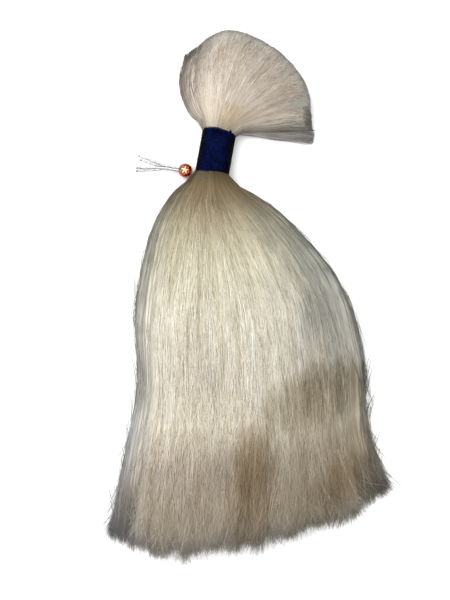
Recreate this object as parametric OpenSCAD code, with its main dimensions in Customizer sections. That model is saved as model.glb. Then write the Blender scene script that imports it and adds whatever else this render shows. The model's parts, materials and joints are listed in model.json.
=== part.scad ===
// A bound bundle of long white goat hair for a large writing brush, lying on a table.
// Every hair runs from the short fan, through the bound waist, to the long skirt.
// Millimetres. Z = 0 is the table, +Y runs along the bound waist towards the fan,
// and the origin is on the table under the middle of the bundle's box.

/* [Binding] */
// Diameter over the outer layer of navy thread
binding_d = 18.8; // [15:0.2:23]
// Length of the bound waist
binding_length = 26; // [18:1:32]
// Thickness of the winding thread
thread_d = 0.6; // [0.4:0.05:0.8]

/* [Skirt] */
// Length of the long hair below the binding
skirt_length = 205.6; // [150:2:260]
// Spread of the long hair at its tips
skirt_width = 155; // [120:1:190]
// Height of the long hair above the table where it is thickest
skirt_height = 42; // [32:1:52]

/* [Fan] */
// Length of the short hair above the binding
fan_length = 53.6; // [44:1:68]
// Spread of the short hair
fan_width = 80; // [64:1:96]
// Height of the short hair above the table where it is thickest
fan_height = 29; // [24:1:36]

/* [Charm] */
// Diameter of the red glass bead
bead_d = 8; // [6.6:0.1:9.8]
// Thickness of each white cord
cord_d = 1.1; // [0.8:0.02:1.34]
// Play of the four cords in the bead's bore
bore_clearance = 0.38; // [0.3:0.02:0.6]
// Travel of the bead along the cords
bead_travel = 6; // [3:0.5:8]

/* [Hidden] */
$fn = 64;
smooth = $preview ? 48 : 96;

binding_r = binding_d / 2;
waist_r = binding_r - 2 * thread_d;
neck_z = binding_r;
// A crease that sinks the cord is left at each end of the binding, and the hair
// turns about a point just past it
play = 0.05;
crease_w = cord_d + 4 * play;
crease_r = waist_r - cord_d - play;
crease_to_pivot = 0.2;
pivot_y = binding_length / 2 + crease_w + crease_to_pivot;
// The waist hair ends in a dome, and the free locks start around it
dome_gap = 1.2;
lock_start_r = binding_r;
dome_r = lock_start_r - dome_gap;
start_share = 0.98;

// Guide hairs from left to right. Each point is [x, y, crown]: the place in percent of the
// width and of the length, counted from the turning point, and the height in percent.
skirt_guides = [
    [[-12.8, 6.2, 50], [-17.5, 18.7, 58], [-17.6, 39.2, 66], [-12.2, 57.8, 64], [-12.4, 77.9, 52], [-13.1, 97, 26]],
    [[-5.1, 8.6, 60], [-5.1, 20.1, 80], [-3.6, 39.2, 95], [0.7, 58.3, 90], [3.6, 77.9, 74], [6.4, 100, 36]],
    [[3.9, 8.1, 64], [10.1, 18.6, 86], [19.1, 35.7, 100], [25.9, 54.8, 95], [31.4, 73.4, 74], [34.4, 94, 36]],
    [[11.4, 6.1, 58], [23, 14.1, 78], [37.4, 28.7, 95], [46.2, 46.8, 86], [53.4, 66.3, 62], [60.4, 84.9, 31]],
    [[18.2, 2.8, 48], [31.9, 8.9, 62], [51.2, 21.8, 76], [63, 38.8, 64], [68.8, 57.4, 48], [80.4, 72, 22]]
];
fan_guides = [
    [[-24.1, 12.8, 62], [-33.1, 39.9, 58], [-33.1, 72.3, 42]],
    [[-10.2, 29.5, 86], [-11.7, 65, 93], [-8.2, 100, 62]],
    [[6.8, 31, 90], [16.3, 64.3, 100], [24.3, 90.6, 69]],
    [[21.8, 23.7, 86], [37.8, 45.5, 90], [51.8, 61.3, 58]],
    [[28.3, 5, 58], [45.8, 10.7, 55], [63.8, 15.9, 38]]
];
// Height of the widest level at the tips, in percent of the thickest height
skirt_tip_level = 11;
fan_tip_level = 22;
// How much shorter the outermost hair is than the middle of its layer
tip_round = 0.05;
// Where the round neck has settled into the flat-bottomed shape that lies on the table,
// and how far its underside is pressed flat
settle_v = 0.2;
flat_gain = 0.05;

// Stations where the locks are cut: across, through the thickness, and along
across = 16;
layers = [-1, -0.5, 0, 0.5, 1];
skirt_rings = [0, 0.05, 0.1, 0.17, 0.25, 0.33, 0.42, 0.5, 0.6, 0.7, 0.8, 0.9, 1];
fan_rings = [0, 0.12, 0.24, 0.36, 0.5, 0.64, 0.78, 0.9, 1];

// The middle of the box over skirt and fan, which puts the origin under it
left_share = -18.8;
right_share = 80.4;
neck_x = -skirt_width * (left_share + right_share) / 200;
neck_y = (skirt_length - fan_length) / 2;

// The bead stands on the table beside the binding's lower end
bead_gap = 1.7;
bead_x = -(binding_r + bead_gap + bead_d / 2);
bead_y = -binding_length / 2 + 1.8;
bead_z = bead_d / 2;
cords_apart = 0.06;
cord_pitch = cord_d / 2 + cords_apart;
bead_bore_d = 2 * sqrt(2) * cord_pitch + cord_d + bore_clearance;
loop_y = -(binding_length / 2 + crease_w / 2);
loop_r = waist_r - cord_d / 2;
// The cords come out under the binding's left side
exit_inset = 0.3;
exit_x = -(binding_r - exit_inset);
exit_y = -(binding_length / 2 - 0.35);
// How each cord's tail comes down and lies on the table: x in millimetres and y in cord
// widths from the bead's centre, z in cord widths from the table. The first two make the
// upper pair, the others the lower pair.
tails = [
    [[-13, 0.91, 3.1], [-16.5, 1.9, 1.73], [-20, 2.72, 0.73], [-26.4, 3.8, 0.6]],
    [[-13, 0.68, 2], [-16.5, 0.86, 0.86], [-20, 1.18, 0.6], [-24.9, 1.9, 0.6]],
    [[-13, -0.55, 3], [-16.5, -0.68, 1.73], [-20, -1.18, 0.73], [-26.3, -2.2, 0.6]],
    [[-13, -0.86, 1.9], [-16.5, -1.64, 0.82], [-20, -2.45, 0.6], [-26, -3.72, 0.6]]
];
cord_rings = 19;
cord_sides = 8;

// The loose wisp beside the fan: [x, y, z, half width, half height]. x and y are in percent
// of the fan's width and length, from the side of the neck at the upper turning point.
wisp_route = [[1, -1.1, 4.6, 0.4, 1.5], [7.8, -0.3, 3.4, 0.9, 2.2], [17.8, 0, 2.7, 1.2, 2.6],
    [33.8, 1.6, 2.8, 1.7, 2.8], [52.8, 5.6, 2.4, 2.2, 2.4]];
wisp_rings = 12;
wisp_sides = 10;

// ---- curves ----

// Smooth curve through p1 and p2, with p0 and p3 on either side
function through(p0, p1, p2, p3, t) =
    0.5 * (2 * p1 + (p2 - p0) * t + (2 * p0 - 5 * p1 + 4 * p2 - p3) * t * t
        + (3 * p1 - p0 - 3 * p2 + p3) * t * t * t);

// The place at share s of a list of points, along a smooth curve through them all
function along(points, s) =
    let (last = len(points) - 1,
        k = min(floor(s * last), last - 1),
        before = k > 0 ? points[k - 1] : 2 * points[0] - points[1],
        after = k + 2 <= last ? points[k + 2] : 2 * points[last] - points[last - 1])
    through(before, points[k], points[k + 1], after, s * last - k);

// ---- the flow of the hair ----
// u runs from the left guide to the right one, w from under to top, v from root to tip.

// The guides in millimetres, each with its root on the dome put in front
function guide_net(guides, width, length, height) =
    [for (g = [0 : len(guides) - 1])
        let (side = 2 * g / (len(guides) - 1) - 1)
        concat(
            [[start_share * lock_start_r * side, 0, neck_z + start_share * lock_start_r]],
            [for (p = guides[g]) [p.x * width / 100, p.y * length / 100, p.z * height / 100]])];

function sheet(net, u, v) = along([for (guide = net) along(guide, v)], u);

// How full the section is at u: a round shoulder whose power is 2 at the waist
function fullness(u, power) = pow(1 - pow(abs(2 * u - 1) * 0.995, power), 1 / power);

// A place in the hair, from the turning point at table height. The roots lie on a ball, and
// the inner hair stays ahead of it until the neck has settled.
function hair_place(net, tip_level, u, w, v) =
    let (shorter = v * (1 - tip_round * w * w),
        at = sheet(net, u, shorter),
        level = neck_z + (tip_level - neck_z) * v,
        settled = min(1, v / settle_v),
        under = min(1, (1 + flat_gain * settled) * fullness(u, 2 + 2 * settled)),
        rise = w > 0
            ? w * (at.z - level) * fullness(u, 2)
            : w * (level - (1 - settled) * (neck_z - start_share * lock_start_r)) * under,
        ball = sqrt(max(0, pow(lock_start_r, 2) - at.x * at.x - rise * rise)))
    [at.x, at.y + (1 - settled) * ball, level + rise];

// One lock: the block of hair between two stations across and two layers
module lock(net, tip_level, rings, i0, i1, j0, j1, down) {
    ni = i1 - i0 + 1;
    nj = j1 - j0 + 1;
    last = len(rings) - 1;
    function id(i, j, k) = (k * nj + (j - j0)) * ni + (i - i0);
    // two triangles for the cell a, b, c, d, always cut from a to c
    function cell(a, b, c, d, out) = out ? [[a, b, c], [a, c, d]] : [[c, b, a], [d, c, a]];
    points = [for (v = rings) for (j = [j0 : j1]) for (i = [i0 : i1])
        let (p = hair_place(net, tip_level, i / across, layers[j], v))
        [p.x, down ? -p.y : p.y, p.z]];
    faces = [
        for (k = [0 : last - 1]) for (i = [i0 : i1 - 1]) for (end = [0, 1])
            let (j = end ? j1 : j0)
            each cell(id(i, j, k), id(i + 1, j, k), id(i + 1, j, k + 1), id(i, j, k + 1),
                down ? end == 1 : end == 0),
        for (k = [0 : last - 1]) for (j = [j0 : j1 - 1]) for (end = [0, 1])
            let (i = end ? i1 : i0)
            each cell(id(i, j, k), id(i, j + 1, k), id(i, j + 1, k + 1), id(i, j, k + 1),
                down ? end == 0 : end == 1),
        for (j = [j0 : j1 - 1]) for (i = [i0 : i1 - 1]) for (end = [0, 1])
            let (k = end ? last : 0)
            each cell(id(i, j, k), id(i + 1, j, k), id(i + 1, j + 1, k), id(i, j + 1, k),
                down ? end == 0 : end == 1)
    ];
    translate([neck_x, neck_y + (down ? -pivot_y : pivot_y), 0])
        polyhedron(points, faces, convexity = 6);
}

skirt_net = guide_net(skirt_guides, skirt_width, skirt_length, skirt_height);
fan_net = guide_net(fan_guides, fan_width, fan_length, fan_height);

module skirt_lock(i0, i1, j0, j1, tint = "ivory")
    color(tint)
        lock(skirt_net, skirt_tip_level * skirt_height / 100, skirt_rings, i0, i1, j0, j1, true);

module fan_lock(i0, i1, j0, j1, tint = "linen")
    color(tint)
        lock(fan_net, fan_tip_level * fan_height / 100, fan_rings, i0, i1, j0, j1, false);

// ---- the binding ----

// Puts its children on the binding's axis, with their Z along +Y
module on_waist()
    translate([neck_x, neck_y, neck_z])
        rotate([-90, 0, 0])
            children();

// The hair in the binding, with a crease and a round dome of hair at each mouth
module waist_hair() {
    crease_end = binding_length / 2 + crease_w;
    color("antiquewhite") on_waist() {
        cylinder(h = binding_length, r = waist_r, center = true, $fn = smooth);
        cylinder(h = 2 * crease_end, r = crease_r, center = true, $fn = smooth);
        for (end = [-1, 1])
            intersection() {
                translate([0, 0, end * pivot_y])
                    sphere(r = dome_r, $fn = smooth);
                translate([0, 0, end * (crease_end + dome_r)])
                    cube([3 * dome_r, 3 * dome_r, 2 * dome_r], center = true);
            }
    }
}

// One layer of close turns of thread: round ridges on a sleeve
module thread_layer(inner_r, length) {
    turns = floor(length / thread_d);
    pitch = length / turns;
    rotate_extrude($fn = smooth)
        union() {
            translate([inner_r, -length / 2])
                square([thread_d * 0.6, length]);
            for (turn = [0 : turns - 1])
                translate([inner_r + thread_d - pitch / 2, -length / 2 + (turn + 0.5) * pitch])
                    circle(d = pitch, $fn = 24);
        }
}

module under_whipping()
    color("midnightblue") on_waist()
        difference() {
            cylinder(h = binding_length - 2 * thread_d, r = waist_r + thread_d, center = true,
                $fn = smooth);
            cylinder(h = binding_length, r = waist_r, center = true, $fn = smooth);
        }

module outer_whipping()
    color("navy") on_waist()
        thread_layer(waist_r + thread_d, binding_length);

// The finishing knot on the binding's upper right edge, with its cut end
module whipping_knot()
    color("navy") on_waist()
        difference() {
            rotate([0, 0, -50])
                translate([binding_r + 0.25, 0, binding_length / 2 - 1.4]) {
                    sphere(r = 1.5 * thread_d, $fn = 32);
                    rotate([0, 12, 0])
                        cylinder(h = 3.2 * thread_d, r = thread_d / 2, $fn = 24);
                }
            cylinder(h = 2 * binding_length, r = binding_r + 0.02, center = true, $fn = smooth);
        }

// A tube through a list of points, with an oval section given by [half width, half height]
module tube(points, sections, sides) {
    last = len(points) - 1;
    function unit(p) = p / norm(p);
    rings = [for (k = [0 : last])
        let (ahead = unit(points[min(k + 1, last)] - points[max(k - 1, 0)]),
            side = unit(cross(ahead, [0, 0, 1])),
            up = cross(side, ahead))
        for (s = [0 : sides - 1])
            points[k] + side * sections[k][0] * cos(360 * s / sides)
                + up * sections[k][1] * sin(360 * s / sides)];
    polyhedron(rings, [
        [for (s = [sides - 1 : -1 : 0]) s],
        [for (s = [0 : sides - 1]) last * sides + s],
        for (k = [0 : last - 1]) for (s = [0 : sides - 1])
            let (t = (s + 1) % sides, a = k * sides, b = a + sides)
            each [[b + t, b + s, a + s], [a + t, b + t, a + s]]
    ], convexity = 6);
}

// Two stray turns that cross the binding at a slant, on its upper side
module crossing_threads()
    color("royalblue")
        for (stray = [[150, 104, -8.5, -11], [62, 22, 2, -9]])
            let (r = binding_r + thread_d / 2 + 0.05,
                route = [for (k = [0 : 10])
                    let (turn = stray[0] + (stray[1] - stray[0]) * k / 10,
                        y = stray[2] + (stray[3] - stray[2]) * k / 10)
                    [neck_x + r * cos(turn), neck_y + y, neck_z + r * sin(turn)]])
            tube(route, [for (p = route) [thread_d / 2, thread_d / 2]], 8);

// The loose wisp that lies beside the fan's lower edge
module fan_loose_wisp() {
    knots = [for (p = wisp_route)
        [lock_start_r + p.x * fan_width / 100, p.y * fan_length / 100, p.z, p[3], p[4]]];
    stations = [for (k = [0 : wisp_rings]) along(knots, k / wisp_rings)];
    color("ivory")
        translate([neck_x, neck_y + pivot_y, 0])
            tube([for (p = stations) [p.x, p.y, p.z]], [for (p = stations) [p[3], p[4]]],
                wisp_sides);
}

// ---- the charm ----

// The cord's turn round the waist, in the crease under the binding
module cord_loop()
    color("white") on_waist()
        translate([0, 0, loop_y])
            rotate_extrude($fn = smooth)
                translate([loop_r, 0])
                    circle(d = cord_d, $fn = 32);

// Cord n leaves the binding's side, runs straight through the bead, and lies down on the table
module cord(n) {
    dy = (n < 2 ? 1 : -1) * cord_pitch;
    dz = (n % 2 == 0 ? 1 : -1) * cord_pitch;
    face = bead_d / 2;
    slant = 1 / cos(atan2(bead_y - exit_y, exit_x - bead_x - face));
    knots = concat(
        [[exit_x - bead_x, exit_y - bead_y + dy * slant, bead_z + dz],
            [(exit_x - bead_x + face) / 2, (exit_y - bead_y) / 2 + dy * slant, bead_z + dz],
            [face, dy, bead_z + dz],
            [-bead_travel / 2, dy, bead_z + dz],
            [-face - bead_travel, dy, bead_z + dz]],
        [for (p = tails[n]) [p.x, p.y * cord_d, p.z * cord_d]]);
    route = [for (k = [0 : cord_rings]) along(knots, k / cord_rings)];
    color("whitesmoke")
        translate([neck_x + bead_x, neck_y + bead_y, 0])
            tube(route, [for (p = route) [cord_d / 2, cord_d / 2]], cord_sides);
}

// Puts its children at the bead's centre
module at_bead()
    translate([neck_x + bead_x, neck_y + bead_y, bead_z])
        children();

module glass_bead()
    color("firebrick") at_bead()
        rotate([0, 90, 0])
            difference() {
                sphere(d = bead_d, $fn = smooth);
                cylinder(h = 2 * bead_d, d = bead_bore_d, center = true, $fn = 48);
            }

// Gold leaf on the bead's upper side: a blossom of five round petals and its heart
module gold_blossom()
    color("gold") at_bead()
        intersection() {
            difference() {
                sphere(r = bead_d / 2 + 0.08, $fn = smooth);
                sphere(r = bead_d / 2, $fn = smooth);
            }
            union() {
                cylinder(h = bead_d, r = 0.06 * bead_d, $fn = 32);
                for (petal = [0 : 4])
                    rotate([0, 0, 72 * petal + 18])
                        translate([0.21 * bead_d, 0, 0])
                            cylinder(h = bead_d, r = 0.1 * bead_d, $fn = 32);
            }
        }

// ---- the nodes ----

waist_hair();
under_whipping();
outer_whipping();
whipping_knot();
crossing_threads();

skirt_lock(2, 14, 1, 3, "wheat");  // skirt_core_hair
skirt_lock(0, 2, 0, 4);  // skirt_side_lock_left
skirt_lock(14, 16, 0, 4);  // skirt_side_lock_right
skirt_lock(2, 5, 3, 4);  // skirt_cover_lock_1
skirt_lock(5, 7, 3, 4);  // skirt_cover_lock_2
skirt_lock(7, 9, 3, 4);  // skirt_cover_lock_3
skirt_lock(9, 11, 3, 4);  // skirt_cover_lock_4
skirt_lock(11, 14, 3, 4);  // skirt_cover_lock_5
skirt_lock(2, 5, 0, 1);  // skirt_under_lock_1
skirt_lock(5, 8, 0, 1);  // skirt_under_lock_2
skirt_lock(8, 11, 0, 1);  // skirt_under_lock_3
skirt_lock(11, 14, 0, 1);  // skirt_under_lock_4

fan_lock(2, 14, 1, 3, "wheat");  // fan_core_hair
fan_lock(0, 2, 0, 4);  // fan_side_lock_left
fan_lock(14, 16, 0, 4);  // fan_side_lock_right
fan_lock(2, 5, 3, 4);  // fan_cover_lock_1
fan_lock(5, 8, 3, 4);  // fan_cover_lock_2
fan_lock(8, 11, 3, 4);  // fan_cover_lock_3
fan_lock(11, 14, 3, 4);  // fan_cover_lock_4
fan_lock(2, 6, 0, 1);  // fan_under_lock_1
fan_lock(6, 10, 0, 1);  // fan_under_lock_2
fan_lock(10, 14, 0, 1);  // fan_under_lock_3
fan_loose_wisp();

cord_loop();
cord(0);  // cord_1
cord(1);  // cord_2
cord(2);  // cord_3
cord(3);  // cord_4
glass_bead();
gold_blossom();
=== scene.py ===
"""A bound bundle of long white goat hair for a large writing brush, lying on a table.

The skirt and the fan are each a flow of hair: a smooth patch through five guide hairs, on which
every strand is laid. Lengths are in metres, and +Y runs along the bound waist to the short fan.
"""
import json
import math
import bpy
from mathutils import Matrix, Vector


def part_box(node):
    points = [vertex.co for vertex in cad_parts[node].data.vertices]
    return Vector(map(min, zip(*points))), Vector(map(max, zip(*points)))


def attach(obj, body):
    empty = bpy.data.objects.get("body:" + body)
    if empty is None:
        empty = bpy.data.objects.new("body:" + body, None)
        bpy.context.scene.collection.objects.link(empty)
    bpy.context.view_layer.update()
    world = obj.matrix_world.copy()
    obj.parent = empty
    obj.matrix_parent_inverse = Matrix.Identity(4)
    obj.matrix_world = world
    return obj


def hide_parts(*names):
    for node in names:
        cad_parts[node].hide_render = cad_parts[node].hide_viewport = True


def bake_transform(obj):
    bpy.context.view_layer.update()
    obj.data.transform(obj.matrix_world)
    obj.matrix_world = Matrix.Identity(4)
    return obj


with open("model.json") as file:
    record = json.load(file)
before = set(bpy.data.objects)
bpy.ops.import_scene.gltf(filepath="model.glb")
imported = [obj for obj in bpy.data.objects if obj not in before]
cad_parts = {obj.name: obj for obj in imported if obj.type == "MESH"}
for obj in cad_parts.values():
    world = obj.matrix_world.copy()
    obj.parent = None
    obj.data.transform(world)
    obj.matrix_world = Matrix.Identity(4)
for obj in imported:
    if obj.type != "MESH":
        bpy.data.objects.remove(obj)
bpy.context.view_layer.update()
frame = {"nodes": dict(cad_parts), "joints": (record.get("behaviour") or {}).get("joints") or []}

from types import SimpleNamespace

import bpy
import numpy as np
from mathutils import Vector

MM = 0.001
UP = np.array([0.0, 0.0, 1.0])

# ---- places and sizes, from the frame ----

BINDING_LOW, BINDING_HIGH = (np.array(corner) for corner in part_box("outer_whipping"))
NECK = (BINDING_LOW + BINDING_HIGH) / 2
BINDING_R = (BINDING_HIGH[0] - BINDING_LOW[0]) / 2
BINDING_HALF = (BINDING_HIGH[1] - BINDING_LOW[1]) / 2
THREAD_D = 0.6 * MM
PIVOTS = {joint["name"]: np.array(joint["pos_m"])
          for joint in frame["joints"] if "pos_m" in joint}
BEAD_LOW, BEAD_HIGH = (np.array(corner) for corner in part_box("glass_bead"))
BEAD = (BEAD_LOW + BEAD_HIGH) / 2
BEAD_R = (BEAD_HIGH[2] - BEAD_LOW[2]) / 2
CORD_D = 1.1 * MM
CORDS_APART = 0.06 * MM
BEAD_TRAVEL = 6 * MM
BEAD_BORE_R = 1.6 * MM
# Half the crease between binding and skirt. From the charm's turning point, the cords start
# so far in.
CREASE_HALF = 0.65 * MM
CORD_START_IN = 3.2 * MM
# The length over which two plies change places
CORD_LAY = 2.6 * MM
THREAD_LAY = 1.7 * MM
WINDING_LAY = 1.9 * MM
# How far back in the binding the hair starts
HAIR_START_IN = 4 * MM
# The wisp's place across the hair's map, beyond the fan's right edge at 1
WISP_U = 1.3


def boxes(start):
    """The box round every node whose name begins with start."""
    corners = [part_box(name) for name in frame["nodes"] if name.startswith(start)]
    lows, highs = zip(*corners)
    return np.min(lows, axis=0), np.max(highs, axis=0)


# ---- camera ----


def camera():
    """Looks down at the bundle from just off the vertical, with the binding above its middle."""
    azimuth, elevation, distance = math.radians(10), math.radians(83), 0.8
    target = Vector((NECK[0] + 0.019, NECK[1] - 0.078, 0.0))
    back = Vector((
        math.sin(azimuth) * math.cos(elevation),
        -math.cos(azimuth) * math.cos(elevation),
        math.sin(elevation)))
    data = bpy.data.cameras.new("camera")
    data.sensor_fit = "VERTICAL"
    data.sensor_height = 36
    data.lens = 87.3
    data.clip_start = 0.01
    eye = bpy.data.objects.new("camera", data)
    eye.location = target + back * distance
    eye.rotation_euler = (-back).to_track_quat("-Z", "Y").to_euler()
    bpy.context.scene.collection.objects.link(eye)
    bpy.context.scene.camera = eye


camera()

# ---- meshes ----


def unit(vectors):
    """Vectors brought to length 1."""
    return vectors / np.maximum(np.linalg.norm(vectors, axis=-1, keepdims=True), 1e-12)


def add_mesh(name, points, quads, tris, maps, tone=None):
    """A mesh from arrays. maps holds a (u, v) pair for each point, under each UV map's name."""
    mesh = bpy.data.meshes.new(name)
    mesh.vertices.add(len(points))
    mesh.vertices.foreach_set("co", points.astype(np.float32).ravel())
    corners = np.concatenate([quads.ravel(), tris.ravel()]).astype(np.int32)
    starts = np.concatenate([np.arange(len(quads)) * 4, len(quads) * 4 + np.arange(len(tris)) * 3])
    mesh.loops.add(len(corners))
    mesh.loops.foreach_set("vertex_index", corners)
    mesh.polygons.add(len(starts))
    mesh.polygons.foreach_set("loop_start", starts.astype(np.int32))
    mesh.update(calc_edges=True)
    for map_name, places in maps.items():
        layer = mesh.uv_layers.new(name=map_name)
        layer.uv.foreach_set("vector", places.astype(np.float32)[corners].ravel())
    if tone is not None:
        layer = mesh.attributes.new("tone", "FLOAT", "POINT")
        layer.data.foreach_set("value", tone.astype(np.float32))
    mesh.shade_smooth()
    piece = bpy.data.objects.new(name, mesh)
    bpy.context.scene.collection.objects.link(piece)
    return piece


def tube_grid(centres, radii, sides, first=0.0):
    """Points of tubes: (n, stations, sides, 3). Corner j of a ring stands at the centre plus the
    radius times (cos a) across + (sin a) up, with a = first + 2 pi j / sides."""
    ahead = unit(np.gradient(centres, axis=1))
    across = unit(np.cross(ahead, UP))
    up = np.cross(across, ahead)
    turn = first + 2 * np.pi * np.arange(sides) / sides
    if radii.ndim == 2:
        radii = radii[:, :, None]
    out = (np.cos(turn)[:, None] * across[:, :, None] + np.sin(turn)[:, None] * up[:, :, None])
    return centres[:, :, None] + radii[..., None] * out


def tube_faces(n, stations, sides):
    """Quads between the rings of n tubes, and fans of triangles that close both ends."""
    ring = np.arange(sides)
    after = (ring + 1) % sides
    base = np.arange(n)[:, None, None] * stations * sides + np.arange(stations - 1)[:, None] * sides
    quads = np.stack([base + ring, base + sides + ring, base + sides + after, base + after], -1)
    fan = np.arange(1, sides - 1)
    start = np.arange(n)[:, None] * stations * sides
    end = start + (stations - 1) * sides
    caps = np.concatenate([
        np.stack([start + 0 * fan, start + fan, start + fan + 1], -1).reshape(-1, 3),
        np.stack([end + 0 * fan, end + fan + 1, end + fan], -1).reshape(-1, 3)])
    return quads.reshape(-1, 4), caps


# ---- curves and flows ----


def through(before, here, there, after, t):
    """The smooth (Catmull-Rom) curve from here to there at share t."""
    return 0.5 * (2 * here + (there - before) * t
                  + (2 * before - 5 * here + 4 * there - after) * t * t
                  + (3 * here - before - 3 * there + after) * t ** 3)


def along(points, share):
    """The place at each share of one list of points (k, d), or of lists of them (k, ..., d) with
    the shape of share."""
    last = len(points) - 1
    padded = np.concatenate([[2 * points[0] - points[1]], points, [2 * points[-1] - points[-2]]])
    k = np.clip(np.floor(share * last), 0, last - 1).astype(int)
    t = (share * last - k)[..., None]
    if points.ndim == 2:
        rows = [padded[k + i] for i in range(4)]
    else:
        rows = [np.take_along_axis(padded, (k + i)[None, ..., None], axis=0)[0] for i in range(4)]
    return through(*rows, t)


def ease(x):
    """Smoothly from 0 to 1 as x goes from 0 to 1."""
    x = np.clip(x, 0, 1)
    return x * x * (3 - 2 * x)


# Guide hairs from left to right. Each point is (x, y, crown): the place in shares of the width
# and of the length, counted from the turning point, and the height in shares of the height.
# The last skirt guide reaches a little further down than its solid, as single hairs do there.
SKIRT_GUIDES = [
    [(-0.128, 0.062, 0.50), (-0.175, 0.187, 0.58), (-0.176, 0.392, 0.66),
     (-0.122, 0.578, 0.64), (-0.124, 0.779, 0.52), (-0.131, 0.970, 0.26)],
    [(-0.051, 0.086, 0.60), (-0.051, 0.201, 0.80), (-0.036, 0.392, 0.95),
     (0.007, 0.583, 0.90), (0.036, 0.779, 0.74), (0.064, 1.000, 0.36)],
    [(0.039, 0.081, 0.64), (0.101, 0.186, 0.86), (0.191, 0.357, 1.00),
     (0.259, 0.548, 0.95), (0.314, 0.734, 0.74), (0.344, 0.940, 0.36)],
    [(0.114, 0.061, 0.58), (0.230, 0.141, 0.78), (0.374, 0.287, 0.95),
     (0.462, 0.468, 0.86), (0.534, 0.663, 0.62), (0.604, 0.849, 0.31)],
    [(0.182, 0.028, 0.48), (0.319, 0.089, 0.62), (0.512, 0.218, 0.76),
     (0.630, 0.388, 0.64), (0.688, 0.574, 0.48), (0.804, 0.736, 0.22)]]
FAN_GUIDES = [
    [(-0.241, 0.128, 0.62), (-0.331, 0.399, 0.58), (-0.331, 0.723, 0.42)],
    [(-0.102, 0.295, 0.86), (-0.117, 0.650, 0.93), (-0.082, 1.000, 0.62)],
    [(0.068, 0.310, 0.90), (0.163, 0.643, 1.00), (0.243, 0.906, 0.69)],
    [(0.218, 0.237, 0.86), (0.378, 0.455, 0.90), (0.518, 0.613, 0.58)],
    [(0.283, 0.050, 0.58), (0.458, 0.107, 0.55), (0.638, 0.159, 0.38)]]
START_SHARE = 0.98
MOUTH_R = 8.5 * MM


def flow(guides, pivot, ahead, width, length, height, tip_level):
    """A flow of hair: its guide net in metres, and where and which way it leaves the binding."""
    sides = np.linspace(-1, 1, len(guides)) * START_SHARE * BINDING_R
    roots = np.stack([sides, 0 * sides, 0 * sides + NECK[2] + START_SHARE * BINDING_R], -1)
    rest = np.array(guides) * (width, length, height)
    net = np.concatenate([roots[:, None], rest], axis=1)
    return SimpleNamespace(net=net, pivot=pivot, ahead=ahead, tip_level=tip_level * height,
                           length=length)


def furthest(guides):
    """The greatest share of the length that the ends of a flow's hairs come to."""
    ends = np.array([guide[-1] for guide in guides])
    return along(ends, np.linspace(0, 1, 101))[:, 1].max()


def skirt_flow():
    """The long hair below the binding, sized by its solids."""
    low, high = boxes("skirt_")
    pivot = PIVOTS["skirt_sway"]
    width = (high[0] - NECK[0]) / SKIRT_GUIDES[-1][-1][0]
    length = (pivot[1] - low[1]) / furthest(SKIRT_GUIDES)
    return flow(SKIRT_GUIDES, pivot, -1, width, length, high[2], 0.11)


def fan_flow():
    """The short hair above the binding, sized by its solids."""
    high = boxes("fan_cover")[1]
    pivot = PIVOTS["fan_sway"]
    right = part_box("fan_side_lock_right")[1][0]
    width = (right - NECK[0]) / FAN_GUIDES[-1][-1][0]
    length = (high[1] - pivot[1]) / furthest(FAN_GUIDES)
    return flow(FAN_GUIDES, pivot, 1, width, length, high[2], 0.22)


def fullness(u, power):
    """How full the section is at u: a round shoulder of the given power."""
    edge = np.clip(np.abs(2 * u - 1) * 0.995, 0, 1)
    return (1 - edge ** power) ** (1 / power)


def place(hair, u, w, v):
    """Where a hair is: u across from left to right, w from under (-1) to top (1), v from root to
    tip. Before the neck has settled it runs straight out of the binding's mouth."""
    guides = np.stack([along(guide, v) for guide in hair.net])
    at = along(guides, u)
    level = NECK[2] + (hair.tip_level - NECK[2]) * v
    settled = np.clip(v / 0.2, 0, 1)
    under = np.minimum(1, (1 + 0.05 * settled) * fullness(u, 2 + 2 * settled))
    down = w * (level - (1 - settled) * (NECK[2] - START_SHARE * BINDING_R)) * under
    rise = np.where(w > 0, w * (at[..., 2] - level) * fullness(u, 2), down)
    ball = np.sqrt(np.maximum(0, BINDING_R ** 2 - at[..., 0] ** 2 - rise ** 2))
    free = np.stack([at[..., 0], at[..., 1] + (1 - settled) * ball, level + rise], -1)
    side = 2 * u - 1
    inside = np.stack([
        MOUTH_R * side,
        -HAIR_START_IN + v * hair.length,
        NECK[2] + MOUTH_R * w * np.sqrt(np.maximum(0, 1 - side ** 2))], -1)
    out = ease(v / 0.055)[..., None]
    laid = inside * (1 - out) + free * out
    return laid * (1, hair.ahead, 1) + (hair.pivot[0], hair.pivot[1], 0)


# ---- strands ----

# How each flow's hair behaves: the number of tufts across, and in shares of the flow's width or
# length how much the tufts' ends differ (ragged), how pointed a tuft is (spike), how far its tip
# turns aside (splay), and how far one hair drifts and weaves (drift, wave). wild is the share of
# hairs that stand off, gather how far hairs close up to their tuft's tip, contrast how much they
# differ in tone, and stretch the least and the greatest span of a short hair.
LONG_HAIR = SimpleNamespace(tufts=150, ragged=0.008, spike=0.018, splay=0.016, drift=0.030,
                            wave=0.0055, wild=0.03, gather=0.8, contrast=0.11, stretch=(0.10, 0.26))
SHORT_HAIR = SimpleNamespace(tufts=110, ragged=0.004, spike=0.008, splay=0.006, drift=0.020,
                             wave=0.0050, wild=0.006, gather=0.3, contrast=0.10, stretch=(0.2, 0.5))


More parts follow.
